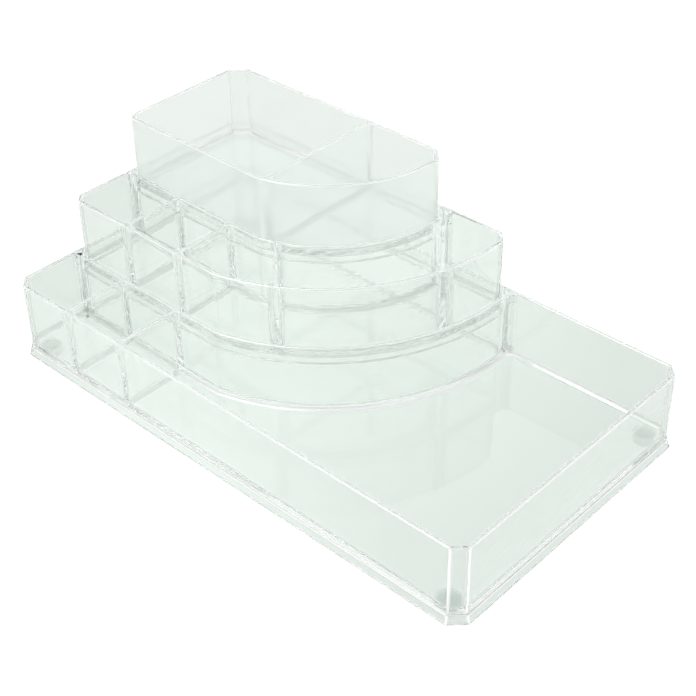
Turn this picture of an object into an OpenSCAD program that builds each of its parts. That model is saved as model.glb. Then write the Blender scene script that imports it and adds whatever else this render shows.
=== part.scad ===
// Clear three-tier vanity organizer. A long base tray carries a quarter-round middle tray
// in a pocket at its back left, and the middle tray carries a smaller top tray the same way.
// Each tray drops into the pocket below it and rests on a shoulder moulded in the pocket's walls.
// The origin is the centre of the footprint, on the surface that the feet stand on.
// X runs to the right, Y to the back and Z up.

/* [Trays] */
// Height of each tray from its bottom edge to its rim
tray_h = 44.2; // [38:0.1:52]
// Thickness of the walls and dividers
wall_t = 2.1; // [1.6:0.1:2.8]
// Thickness of the floors
floor_t = 2.2; // [1.6:0.1:3]
// Depth of the hollow under each floor
skirt_h = 3.8; // [2.5:0.1:5]
// Depth that a nested tray sinks below the rim of the tray that carries it
nest_depth = 10.9; // [7:0.1:16]
// Gap all round between a nested tray and its pocket
nest_gap = 0.6; // [0.3:0.05:1]
// Width of the shoulder under a nested tray's bottom edge
shoulder_bearing = 1.2; // [0.8:0.1:1.6]
// Radius in the upright corners where dividers meet walls
web_r = 3; // [1.5:0.1:4]

/* [Base tray] */
// Length of the base tray from left face to right face
base_len = 300; // [270:1:340]
// Depth of the base tray from front face to back face
base_depth = 167; // [155:1:180]
// Slanted cut on the base tray's upright corners
base_cut = 6.1; // [3:0.1:9]
// Clear distance from the front face back to the pocket wall
base_strip = 38.3; // [30:0.1:46]
// Left face to the centre of the first divider
base_divider_1 = 41; // [25:0.5:55]
// Left face to the centre of the second divider
base_divider_2 = 82; // [68:0.5:95]
// Radius in the corner where the pocket wall's right end meets the back wall
base_end_r = 6; // [3:0.1:7]

/* [Foot flange] */
// Height of the flared flange round the base
flange_h = 5.2; // [3:0.1:8]
// How far the flange stands out at the bottom
flange_out = 2.4; // [1.5:0.1:4]
// Width of the small ledge on top of the flange
flange_ledge = 0.9; // [0.4:0.1:1.4]

/* [Middle tray] */
// Left face of the base to the centre of the pocket's arc
middle_arc_x = 83.8; // [75:0.1:95]
// Back face of the base to the centre of the pocket's arc
middle_arc_back = 15.8; // [8:0.1:24]
// How far the arc's circle would pass in front of the pocket's straight wall
middle_arc_dip = 3.1; // [1:0.1:6]
// Slanted cut on the front left corner
middle_cut_front = 4.8; // [3:0.1:7]
// Slanted cut on the back left corner
middle_cut_back = 10; // [7:0.1:13]
// Slanted cut where the arc meets the back wall
middle_cut_end = 5.5; // [3:0.1:8]
// Clear distance from the front face back to the pocket wall
middle_strip = 37; // [28:0.1:42]
// Left face to the centre of the first divider
middle_divider_1 = 41.2; // [30:0.1:55]
// Left face to the centre of the second divider
middle_divider_2 = 80.1; // [68:0.1:90]
// Direction of the first slanted divider, turned down from the X axis
slant_1 = 44.5; // [40:0.5:54]
// Place of the first slanted divider round the inner arc, turned down from the X axis
slant_at_1 = 68.7; // [60:0.1:74]
// Direction of the second slanted divider, turned down from the X axis
slant_2 = 51.6; // [46:0.5:56]
// Place of the second slanted divider round the inner arc, turned down from the X axis
slant_at_2 = -5.4; // [-5.5:0.1:6]

/* [Top tray] */
// Left face of the middle tray to the centre of its pocket's arc
top_arc_x = 82.7; // [76:0.1:92]
// Back face of the middle tray to the centre of its pocket's arc
top_arc_back = 13.5; // [8:0.1:20]
// How far the arc's circle would pass in front of the pocket's straight wall
top_arc_dip = 2; // [1:0.1:4]
// Slanted cut on the front left corner
top_cut_front = 3.4; // [2:0.1:5]
// Slanted cut on the back left corner
top_cut_back = 8.8; // [6:0.1:11]
// Slanted cut where the arc meets the back wall
top_cut_end = 6.8; // [3:0.1:8]
// Left face of the top tray to the centre of its divider
top_divider = 100.1; // [99:0.1:112]

/* [Feet] */
// Diameter of the stick-on bumpers
bumper_d = 12.7; // [8:0.1:16]
// How far the bumpers stand out below the flange
bumper_proud = 1.2; // [0.6:0.1:2.5]
// Radius of the bumpers' lower edge
bumper_round = 2; // [0.5:0.1:3]
// Left and right faces of the base to the centre of each bumper
bumper_in_x = 12; // [9:0.1:20]
// Front and back faces of the base to the centre of each bumper
bumper_in_y = 9; // [9:0.1:20]

/* [Hidden] */
$fn = 96;
clear_plastic = [0.86, 0.93, 0.89, 0.45];
clear_rubber = [0.8, 0.86, 0.83, 0.6];
// Length by which a cut runs past the face that it opens
overrun = 1;
// Share of a web's radius by which its circle dips into the walls that it blends
dip_share = 0.012;
// Share of an inset by which a slanted corner cut gets shorter
cut_share = 2 - sqrt(2);
left_x = -base_len / 2;
front_y = -base_depth / 2;
back_y = base_depth / 2;
floor_z = skirt_h + floor_t;
seat_h = tray_h - nest_depth;
base_z = bumper_proud;
middle_z = base_z + seat_h;
top_z = middle_z + seat_h;
shoulder_w = nest_gap + shoulder_bearing;

// A quarter-round outline holds its left, front and back faces, its arc's centre and radius,
// and the cuts on its front left, back left and back right corners.
function quarter(left, front, back, arc_x, arc_y, dip, cuts) =
    [left, front, back, arc_x, arc_y, arc_y - front + dip, cuts[0], cuts[1], cuts[2]];
// The same outline drawn in by d on every side, or grown where d is negative.
function drawn_in(o, d) = [o[0] + d, o[1] + d, o[2] - d, o[3], o[4], o[5] - d,
    o[6] - cut_share * d, o[7] - cut_share * d, o[8] - cut_share * d];
// The same outline without the cut on its back right corner.
function square_end(o) = [for (i = [0:7]) o[i], 0];
// Where the arc meets the line at height y.
function arc_x_at(o, y) = o[3] + sqrt(o[5] * o[5] - (y - o[4]) * (y - o[4]));

base_pocket = quarter(left_x + wall_t, front_y + base_strip + wall_t, back_y - wall_t,
    left_x + middle_arc_x, back_y - middle_arc_back, middle_arc_dip,
    [middle_cut_front, middle_cut_back, middle_cut_end]);
middle_outer = drawn_in(base_pocket, nest_gap);
middle_pocket = quarter(middle_outer[0] + wall_t, middle_outer[1] + middle_strip + wall_t,
    middle_outer[2] - wall_t, middle_outer[0] + top_arc_x, middle_outer[2] - top_arc_back,
    top_arc_dip, [top_cut_front, top_cut_back, top_cut_end]);
top_outer = drawn_in(middle_pocket, nest_gap);

module quarter_outline(o) {
    end_x = arc_x_at(o, o[2]);
    right_x = o[3] + o[5];
    intersection() {
        union() {
            translate([o[0], o[1]]) square([o[3] - o[0], o[2] - o[1]]);
            intersection() {
                translate([o[3], o[4]]) circle(o[5]);
                translate([o[3], o[1]]) square([o[5], o[2] - o[1]]);
            }
        }
        polygon([[o[0] + o[6], o[1]], [right_x, o[1]], [right_x, o[2] - o[8] - right_x + end_x],
            [end_x - o[8], o[2]], [o[0] + o[7], o[2]], [o[0], o[2] - o[7]], [o[0], o[1] + o[6]]]);
    }
}

// The base tray's rectangle with its four corners cut, drawn in by d.
module base_outline(d) {
    hx = base_len / 2 - d;
    hy = base_depth / 2 - d;
    k = base_cut - cut_share * d;
    polygon([[k - hx, -hy], [hx - k, -hy], [hx, k - hy], [hx, hy - k],
        [hx - k, hy], [k - hx, hy], [-hx, hy - k], [-hx, k - hy]]);
}

// Concave fill in the corner at p between walls that leave it at angles a and b.
module web(p, a, b) {
    u = [cos(a), sin(a)];
    v = [cos(b), sin(b)];
    half = abs(a - b) / 2;
    reach = web_r * (1 - dip_share);
    t = reach / tan(half);
    centre = p + (u + v) / norm(u + v) * reach / sin(half);
    sink = wall_t / 2;
    difference() {
        polygon([p - sink * (u + v), p + t * u - sink * v, centre, p + t * v - sink * u]);
        translate(centre) circle(web_r);
    }
}

// A divider along Y at x, from the wall face at y0 to the wall face at y1, with its four webs.
module divider(x, y0, y1) {
    left = x - wall_t / 2;
    right = x + wall_t / 2;
    translate([left, y0 - wall_t / 2]) square([wall_t, y1 - y0 + wall_t]);
    web([left, y0], 90, 180);
    web([right, y0], 0, 90);
    web([left, y1], 180, 270);
    web([right, y1], 270, 360);
}

// Distance from p along the unit vector u to the circle of radius r round c.
function to_circle(p, u, c, r) = -(p - c) * u + sqrt(((p - c) * u) * ((p - c) * u) - (p - c) * (p - c) + r * r);

// Concave fill of radius r between a straight face and an arc, tangent to both. The face passes
// through p along u with the free side at n; out is 1 where the free side lies outside the arc's
// circle and -1 where it lies inside.
module arc_web(p, u, n, c, radius, out, r = web_r) {
    reach = r * (1 - dip_share);
    centre = p + reach * n + to_circle(p + reach * n, u, c, radius + out * reach) * u;
    corner = p + to_circle(p, u, c, radius) * u;
    radial = (centre - c) / norm(centre - c);
    sink = wall_t / 2;
    difference() {
        polygon([centre, c + (radius - out * sink) * radial,
            corner - sink * n - out * sink * u, centre - (reach + sink) * n]);
        translate(centre) circle(r);
    }
}

// A slanted divider from the inner arc, at the angle at round it, to the outer arc.
module slanted_divider(at, slant) {
    inner_c = [middle_pocket[3], middle_pocket[4]];
    outer_c = [middle_outer[3], middle_outer[4]];
    inner_r = middle_pocket[5] + wall_t;
    outer_r = middle_outer[5] - wall_t;
    u = [cos(slant), -sin(slant)];
    start = inner_c + (inner_r - wall_t / 2) * [cos(at), -sin(at)];
    length = to_circle(start, u, outer_c, outer_r + wall_t / 2);
    translate(start) rotate(-slant) translate([0, -wall_t / 2]) square([length, wall_t]);
    for (s = [-1, 1]) {
        n = s * [sin(slant), cos(slant)];
        arc_web(start + n * wall_t / 2, u, n, inner_c, inner_r, 1);
        arc_web(start + n * wall_t / 2, u, n, outer_c, outer_r, -1);
    }
}

// A divider along Y at x, from the arc of the outline o to its back wall.
module arc_divider(o, x) {
    translate([x - wall_t / 2, o[1]]) square([wall_t, o[2] - o[1] + wall_t / 2]);
    for (s = [-1, 1]) arc_web([x + s * wall_t / 2, o[4]], [0, -1], [s, 0], [o[3], o[4]], o[5], -1);
    web([x - wall_t / 2, o[2]], 180, 270);
    web([x + wall_t / 2, o[2]], 270, 360);
}

// The wall that stands round a pocket, with webs where its ends meet the tray's own walls.
module pocket_wall(o, left, back, end_r) {
    wall = square_end(drawn_in(o, -wall_t));
    quarter_outline(wall);
    web([left, wall[1]], 270, 360);
    arc_web([wall[3], back], [1, 0], [0, -1], [wall[3], wall[4]], wall[5], 1, end_r);
}

// The pocket cut into a tray, narrower below the shoulder that the next tray stands on.
module pocket_cut(o) {
    translate([0, 0, seat_h]) linear_extrude(nest_depth + overrun) quarter_outline(o);
    translate([0, 0, floor_z]) linear_extrude(seat_h - floor_z + overrun)
        quarter_outline(drawn_in(o, shoulder_w));
}

// One face pair of the flared flange, half across at the walls, turned about Z.
module flare_prism(half, turn, d, z0, z1) {
    out0 = flange_out + (flange_ledge - flange_out) * z0 / flange_h - d;
    out1 = flange_out + (flange_ledge - flange_out) * z1 / flange_h - d;
    rotate([0, 0, turn]) rotate([90, 0, 0]) linear_extrude(2 * base_len, center = true)
        polygon([[-half - out0, z0], [half + out0, z0], [half + out1, z1], [-half - out1, z1]]);
}

// The flange's block from z0 to z1, drawn in by d.
module flare(d, z0, z1) {
    slant_half = (base_len / 2 + base_depth / 2 - base_cut) / sqrt(2);
    intersection() {
        flare_prism(base_len / 2, 0, d, z0, z1);
        flare_prism(base_depth / 2, 90, d, z0, z1);
        flare_prism(slant_half, 45, d, z0, z1);
        flare_prism(slant_half, -45, d, z0, z1);
    }
}

module base_tray() color(clear_plastic) translate([0, 0, base_z]) difference() {
    union() {
        linear_extrude(tray_h) base_outline(0);
        flare(0, 0, flange_h);
    }
    flare(wall_t, -overrun, skirt_h);
    translate([0, 0, floor_z]) linear_extrude(tray_h) difference() {
        base_outline(wall_t);
        pocket_wall(base_pocket, left_x + wall_t, back_y - wall_t, base_end_r);
        for (x = [base_divider_1, base_divider_2])
            divider(left_x + x, front_y + wall_t, front_y + base_strip);
    }
    pocket_cut(base_pocket);
}

module middle_tray() color(clear_plastic) translate([0, 0, middle_z]) difference() {
    inner = drawn_in(middle_outer, wall_t);
    linear_extrude(tray_h) quarter_outline(middle_outer);
    translate([0, 0, -overrun]) linear_extrude(skirt_h + overrun) quarter_outline(inner);
    translate([0, 0, floor_z]) linear_extrude(tray_h) difference() {
        quarter_outline(inner);
        pocket_wall(middle_pocket, inner[0], inner[2], web_r);
        for (x = [middle_divider_1, middle_divider_2])
            divider(middle_outer[0] + x, inner[1], middle_outer[1] + middle_strip);
        slanted_divider(slant_at_1, slant_1);
        slanted_divider(slant_at_2, slant_2);
    }
    pocket_cut(middle_pocket);
}

module top_tray() color(clear_plastic) translate([0, 0, top_z]) difference() {
    inner = drawn_in(top_outer, wall_t);
    linear_extrude(tray_h) quarter_outline(top_outer);
    translate([0, 0, -overrun]) linear_extrude(skirt_h + overrun) quarter_outline(inner);
    translate([0, 0, floor_z]) linear_extrude(tray_h) difference() {
        quarter_outline(inner);
        arc_divider(inner, top_outer[0] + top_divider);
    }
}

// A bumper stuck under the floor, from the floor's underside to the surface below.
module bumper(side_x, side_y) {
    r = bumper_d / 2;
    h = bumper_proud + skirt_h;
    color(clear_rubber)
        translate([side_x * (base_len / 2 - bumper_in_x), side_y * (base_depth / 2 - bumper_in_y), 0])
            rotate_extrude() {
                translate([0, bumper_round]) square([r, h - bumper_round]);
                square([r - bumper_round, h]);
                intersection() {
                    translate([r - bumper_round, bumper_round]) circle(bumper_round);
                    square([r, h]);
                }
            }
}
module foot_front_left() bumper(-1, -1);
module foot_front_right() bumper(1, -1);
module foot_back_left() bumper(-1, 1);
module foot_back_right() bumper(1, 1);

base_tray();
middle_tray();
top_tray();
foot_front_left();
foot_front_right();
foot_back_left();
foot_back_right();
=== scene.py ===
import math

import bpy
from mathutils import Matrix, Vector

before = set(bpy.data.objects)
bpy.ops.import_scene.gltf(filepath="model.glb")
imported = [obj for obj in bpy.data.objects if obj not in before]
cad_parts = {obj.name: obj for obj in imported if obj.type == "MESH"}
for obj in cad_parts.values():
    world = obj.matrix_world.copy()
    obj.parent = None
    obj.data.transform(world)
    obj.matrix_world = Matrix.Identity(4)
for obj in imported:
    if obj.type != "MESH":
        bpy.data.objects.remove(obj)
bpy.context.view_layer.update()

scene = bpy.context.scene

# The camera stands to the right of the front and looks down on the near corner, where the
# long open strip of the base tray meets its right end.
camera_place = Vector((0.4069, -0.4224, 0.4702))
camera_azimuth, camera_elevation, camera_roll = 43.25, 36.89, -0.905
focal_length, sensor_width = 74.93, 36.0
azimuth, elevation, roll = map(math.radians, (camera_azimuth, camera_elevation, camera_roll))
backward = Vector((math.sin(azimuth) * math.cos(elevation), -math.cos(azimuth) * math.cos(elevation),
                   math.sin(elevation)))
level_right = Vector((math.cos(azimuth), math.sin(azimuth), 0))
level_up = backward.cross(level_right)
right = math.cos(roll) * level_right + math.sin(roll) * level_up
up = backward.cross(right)
camera_data = bpy.data.cameras.new("camera")
camera_data.lens, camera_data.sensor_width = focal_length, sensor_width
camera = bpy.data.objects.new("camera", camera_data)
camera.matrix_world = Matrix((right, up, backward)).transposed().to_4x4()
camera.location = camera_place
scene.collection.objects.link(camera)
scene.camera = camera


# Clear trays: three injection mouldings of clear polystyrene, polished in the mould, which nest
# without any fastener. The faces wave a little, the edges and the feet of the inner walls are
# round, and the plastic is pale green, with painted shade in its tint. The top tray is a little milky.
tray_floors = {"base_tray": 0.0072, "middle_tray": 0.0405, "top_tray": 0.0738}
# Painted shade: each pair holds the first-wall colour near the middle along X and a darker one at the two
# ends. Both are deeper than the pale green plastic, to stand in for the shade of the floor seen through the
# trays.
lower_tint_and_shade = (0.775, 0.838, 0.787, 1), (0.665, 0.722, 0.676, 1)
tray_tint_and_shade = {"base_tray": lower_tint_and_shade, "middle_tray": lower_tint_and_shade,
              "top_tray": ((0.81, 0.86, 0.82, 1), (0.79, 0.84, 0.80, 1))}
shade_centre, shade_near, shade_far = -0.03, 0.03, 0.15
untinted, passing_tint = (1.0, 1.0, 1.0, 1), (0.975, 0.985, 0.98, 1)
plastic_roughness, plastic_ior = 0.05, 1.52
first_wall_depth, trapped_depth = 1.5, 14
wave_scale, wave_height = 28.0, 0.00005
ripple_scales, face_ripple, edge_ripple = (90, 90, 420), 0.00004, 0.00006
haze_share, haze_colour = 0.3, (0.83, 0.865, 0.84, 1)
shine_share, shine_roughness = 0.45, 0.3
edge_round, fillet, bevel_rings = 0.0006, 0.002, 4
sharp_angle, flat_angle = math.radians(30), math.radians(0.5)
weld_distance, floor_reach = 0.00002, 0.0001


class Socket:
    """One output of a shader graph; an operator on it adds the Math node that does the same."""

    def __init__(self, graph, output):
        self.graph, self.output = graph, output

    def maths(self, operation, *others):
        inputs = dict(enumerate((self, *others)))
        return self.graph.node("ShaderNodeMath", {"operation": operation}, inputs)

    def vector_maths(self, operation, *others, output=0):
        inputs = dict(enumerate((self, *others)))
        return self.graph.node("ShaderNodeVectorMath", {"operation": operation}, inputs, output)

    def __add__(self, other):
        return self.maths("ADD", other)

    def __sub__(self, other):
        return self.maths("SUBTRACT", other)

    def __mul__(self, other):
        return self.maths("MULTIPLY", other)

    def __rsub__(self, other):
        return self * -1 + other

    __radd__, __rmul__ = __add__, __mul__


class Graph:
    """The node tree of a new material, or of the world."""

    def __init__(self, name, of_world=False):
        self.owner = (bpy.data.worlds if of_world else bpy.data.materials).new(name)
        self.owner.use_nodes = True
        self.tree = self.owner.node_tree
        self.tree.nodes.clear()
        self.end = self.tree.nodes.new("ShaderNodeOutputWorld" if of_world else "ShaderNodeOutputMaterial")

    def node(self, kind, settings=None, inputs=None, output=0):
        """Adds a node, sets its settings and then its sockets, and gives one of its outputs."""
        made = self.tree.nodes.new(kind)
        for name, value in (settings or {}).items():
            setattr(made, name, value)
        for name, value in (inputs or {}).items():
            if isinstance(value, Socket):
                self.tree.links.new(value.output, made.inputs[name])
            else:
                made.inputs[name].default_value = value
        return Socket(self, made.outputs[output])

    def colour_mix(self, factor, first, second):
        """A Mix node's colours are its inputs 6 and 7, and the mixed one is its output 2."""
        return self.node("ShaderNodeMix", {"data_type": "RGBA"}, {0: factor, 6: first, 7: second}, output=2)

    def finish(self, surface):
        self.tree.links.new(surface.output, self.end.inputs["Surface"])
        return self.owner


def light_through(g, clear):
    """The shader clear, passed straight by rays that light other surfaces or are trapped in it."""
    lights = (g.node("ShaderNodeLightPath", output="Is Shadow Ray")
              + g.node("ShaderNodeLightPath", output="Is Diffuse Ray"))
    trapped = g.node("ShaderNodeLightPath", output="Ray Depth").maths("GREATER_THAN", trapped_depth)
    passing = (lights + trapped).maths("MINIMUM", 1.0)
    straight = g.node("ShaderNodeBsdfTransparent", None, {"Color": passing_tint})
    return g.node("ShaderNodeMixShader", None, {0: passing, 1: clear, 2: straight})


def first_wall_tint_and_shade(g, place, tint_and_shade):
    """The pale green tint of the first wall on a line of sight, which has none after it.

    Painted shade: the tint is deep enough to stand in for the shade of the floor seen through the
    trays, and it goes from the first colour near the middle along X to the darker second one at the
    two ends."""
    from_centre = (g.node("ShaderNodeSeparateXYZ", None, {0: place}) - shade_centre).maths("ABSOLUTE")
    across = g.node("ShaderNodeMapRange", None, {
        "Value": from_centre, "From Min": shade_near, "From Max": shade_far})
    first = g.node("ShaderNodeLightPath", output="Transmission Depth").maths("LESS_THAN", first_wall_depth)
    return g.colour_mix(first, untinted, g.colour_mix(across, *tint_and_shade))


def clear_plastic(g, ripple, tint_and_shade=None):
    """Clear plastic whose faces have soft waves, and ripples of the height ripple drawn along them."""
    place = g.node("ShaderNodeTexCoord", output="Object")
    waves = g.node("ShaderNodeTexNoise", None, {"Vector": place, "Scale": wave_scale, "Detail": 1.0})
    ripples = g.node("ShaderNodeTexNoise", None, {
        "Vector": place.vector_maths("MULTIPLY", ripple_scales), "Scale": 1.0, "Detail": 1.0})
    bump = g.node("ShaderNodeBump", None, {
        "Strength": 1.0, "Distance": 1.0, "Height": waves * wave_height + ripples * ripple})
    return g.node("ShaderNodeBsdfPrincipled", None, {
        "Base Color": first_wall_tint_and_shade(g, place, tint_and_shade) if tint_and_shade else untinted,
        "Roughness": plastic_roughness, "IOR": plastic_ior, "Transmission Weight": 1.0, "Normal": bump})


def tray_plastic(name, hazy):
    """The plastic of one tray's faces, with haze on the first wall of a line of sight if hazy."""
    g = Graph(name + "_plastic")
    plastic = clear_plastic(g, face_ripple, tray_tint_and_shade[name])
    if hazy:
        haze = g.node("ShaderNodeBsdfTranslucent", None, {"Color": haze_colour})
        first = g.node("ShaderNodeLightPath", output="Ray Depth").maths("LESS_THAN", first_wall_depth)
        plastic = g.node("ShaderNodeMixShader", None, {0: first * haze_share, 1: plastic, 2: haze})
    return g.finish(light_through(g, plastic))


def edge_plastic():
    """The plastic of the round edges, with a share of white gloss that draws them as thin lines."""
    g = Graph("clear_plastic_edge")
    shine = g.node("ShaderNodeBsdfAnisotropic", None, {"Color": untinted, "Roughness": shine_roughness})
    early = g.node("ShaderNodeLightPath", output="Ray Depth").maths("LESS_THAN", trapped_depth)
    plastic = clear_plastic(g, edge_ripple)
    both = g.node("ShaderNodeMixShader", None, {0: early * shine_share, 1: plastic, 2: shine})
    return g.finish(light_through(g, both))


def edge_softness(floor_z):
    """A modifier group: drops the imported normals and weighs each edge for the bevel after it.

    A real edge has weight edge_round / fillet, and one where the floor meets a wall has weight 1."""
    group = bpy.data.node_groups.new("edge_softness", "GeometryNodeTree")
    for way in ("INPUT", "OUTPUT"):
        group.interface.new_socket("Geometry", in_out=way, socket_type="NodeSocketGeometry")

    def node(kind, settings=None, inputs=None):
        made = group.nodes.new(kind)
        for name, value in (settings or {}).items():
            setattr(made, name, value)
        for name, value in (inputs or {}).items():
            if isinstance(value, bpy.types.NodeSocket):
                group.links.new(value, made.inputs[name])
            else:
                made.inputs[name].default_value = value
        return made.outputs

    start = node("NodeGroupInput")
    plain = node("GeometryNodeSetMeshNormal", None, {"Mesh": start[0]})
    turn = node("GeometryNodeInputMeshEdgeAngle")
    height = node("ShaderNodeSeparateXYZ", None, {0: node("GeometryNodeInputPosition")[0]})
    real = node("ShaderNodeMath", {"operation": "GREATER_THAN"}, {0: turn[0], 1: sharp_angle})
    hollow = node("ShaderNodeMath", {"operation": "LESS_THAN"}, {0: turn[1], 1: 0.0})
    on_floor = node("ShaderNodeMath", {"operation": "COMPARE"}, {0: height[2], 1: floor_z, 2: floor_reach})
    foot = node("ShaderNodeMath", {"operation": "MULTIPLY"}, {0: hollow[0], 1: on_floor[0]})
    share = edge_round / fillet
    soft = node("ShaderNodeMath", {"operation": "MULTIPLY_ADD"}, {0: foot[0], 1: 1 - share, 2: share})
    weight = node("ShaderNodeMath", {"operation": "MULTIPLY"}, {0: soft[0], 1: real[0]})
    stored = node("GeometryNodeStoreNamedAttribute", {"data_type": "FLOAT", "domain": "EDGE"}, {
        "Geometry": plain[0], "Name": "bevel_weight_edge", "Value": weight[0]})
    node("NodeGroupOutput", None, {0: stored[0]})
    return group


def round_edges(tray, floor_z):
    """Joins the loose triangles, clears the flat faces' inner edges and rounds every real edge.

    The round faces take the tray's second material."""
    weld = tray.modifiers.new("weld", "WELD")
    weld.merge_threshold = weld_distance
    flat = tray.modifiers.new("flat", "DECIMATE")
    flat.decimate_type, flat.angle_limit = "DISSOLVE", flat_angle
    tray.modifiers.new("edge_softness", "NODES").node_group = edge_softness(floor_z)
    bevel = tray.modifiers.new("bevel", "BEVEL")
    bevel.width, bevel.segments, bevel.limit_method = fillet, bevel_rings, "WEIGHT"
    bevel.use_clamp_overlap = False
    bevel.material = 1
    bevel.face_strength_mode = "FSTR_ALL"
    shading = tray.modifiers.new("shading", "WEIGHTED_NORMAL")
    shading.use_face_influence = True


round_edge_plastic = edge_plastic()
for name, floor_z in tray_floors.items():
    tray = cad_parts[name]
    tray.data.materials.clear()
    tray.data.materials.append(tray_plastic(name, hazy=name == "top_tray"))
    tray.data.materials.append(round_edge_plastic)
    round_edges(tray, floor_z)


# Bumpers: stick-on feet cast in soft clear polyurethane, stuck under the floor's corners by their
# own adhesive. They are thin at the round edge, so the middle is the less clear part.
foot_centre = (0.138, 0.0745, 0)
thick_reach, thin_reach = 0.0035, 0.0064
thick_alpha, thin_alpha = 0.3, 0.05
rubber_colour, rubber_roughness = (0.55, 0.66, 0.60, 1), 0.25


def fade(g, value, start, end, at_start, at_end):
    """Goes smoothly from at_start to at_end while value goes from start to end."""
    return g.node("ShaderNodeMapRange", {"interpolation_type": "SMOOTHSTEP"}, {
        "Value": value, "From Min": start, "From Max": end, "To Min": at_start, "To Max": at_end})


def clear_rubber():
    """Its alpha falls with the level distance from the axis of the nearest of the four bumpers."""
    g = Graph("clear_rubber")
    place = g.node("ShaderNodeTexCoord", output="Object").vector_maths("ABSOLUTE")
    level = place.vector_maths("SUBTRACT", foot_centre).vector_maths("MULTIPLY", (1, 1, 0))
    reach = level.vector_maths("LENGTH", output="Value")
    return g.finish(g.node("ShaderNodeBsdfPrincipled", None, {
        "Base Color": rubber_colour, "Roughness": rubber_roughness,
        "Alpha": fade(g, reach, thick_reach, thin_reach, thick_alpha, thin_alpha)}))


bumper_rubber = clear_rubber()
for name in ("foot_front_left", "foot_front_right", "foot_back_left", "foot_back_right"):
    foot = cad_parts[name]
    foot.data.materials.clear()
    foot.data.materials.append(bumper_rubber)


# The floor under the object, plain and pale, and wide enough for every view. Its lift makes it
# white where it is seen, directly, through the trays or in their gloss, and lights nothing else.
floor_half = 6.0
floor_grey, floor_lift = 0.72, 0.45
floor_mesh = bpy.data.meshes.new("floor")
floor_mesh.from_pydata([(-floor_half, -floor_half, 0), (floor_half, -floor_half, 0),
                        (floor_half, floor_half, 0), (-floor_half, floor_half, 0)], [], [(0, 1, 2, 3)])
floor = bpy.data.objects.new("floor", floor_mesh)
scene.collection.objects.link(floor)
g = Graph("floor")
lit = g.node("ShaderNodeBsdfDiffuse", None, {"Color": (floor_grey, floor_grey, floor_grey, 1)})
seen = (g.node("ShaderNodeLightPath", output="Is Camera Ray")
        + g.node("ShaderNodeLightPath", output="Is Glossy Ray")
        + g.node("ShaderNodeLightPath", output="Is Transmission Ray")).maths("MINIMUM", 1.0)
lift = g.node("ShaderNodeEmission", None, {"Color": (1, 1, 1, 1), "Strength": seen * floor_lift})
floor_mesh.materials.append(g.finish(g.node("ShaderNodeAddShader", None, {0: lit, 1: lift})))
floor_mesh.materials[0].cycles.emission_sampling = "NONE"

# Studio light: a white tent, brightest towards the horizon, with a wide soft panel behind the
# object, a stronger one high on the left and a low dark opening behind the camera.
tent_low, tent_high, tent_fade = 1.3, 1.0, 0.35
# Each panel has its turn, its tilt, the cosines where it starts and is full, and its light.
panels = [(math.radians(133), math.radians(39), 0.955, 0.99, 0.6),
          (math.radians(215), math.radians(68), 0.96, 0.985, 3.0)]
opening_start, opening_full, opening_light = 0.905, 0.93, 0.02
opening_low, opening_top = 0.35, 0.4
toward_camera = Vector((math.sin(azimuth), -math.cos(azimuth), 0))
g = Graph("studio", of_world=True)
ray = g.node("ShaderNodeTexCoord", output="Generated")
ray_z = g.node("ShaderNodeSeparateXYZ", None, {0: ray}, output="Z")
strength = fade(g, ray_z, 0.0, tent_fade, tent_low, tent_high)
for turn, tilt, start, full, light in panels:
    toward = Vector((math.cos(turn) * math.cos(tilt), math.sin(turn) * math.cos(tilt), math.sin(tilt)))
    nearness = ray.vector_maths("DOT_PRODUCT", toward, output="Value")
    strength = strength + fade(g, nearness, start, full, 0.0, light)
nearness = ray.vector_maths("DOT_PRODUCT", toward_camera, output="Value")
opening = (fade(g, nearness, opening_start, opening_full, 0.0, 1.0)
           * fade(g, ray_z, opening_low, opening_top, 1.0, 0.0))
strength = strength * (1 - opening) + opening * opening_light
scene.world = g.finish(g.node("ShaderNodeBackground", None, {"Strength": strength}))

# A line of sight crosses up to 48 surfaces of the nested trays.
surfaces_crossed = 48
scene.view_settings.view_transform = "Standard"
scene.cycles.max_bounces = surfaces_crossed
scene.cycles.transmission_bounces = surfaces_crossed
scene.cycles.glossy_bounces = surfaces_crossed
scene.cycles.transparent_max_bounces = surfaces_crossed
scene.cycles.caustics_refractive = False
scene.cycles.caustics_reflective = False
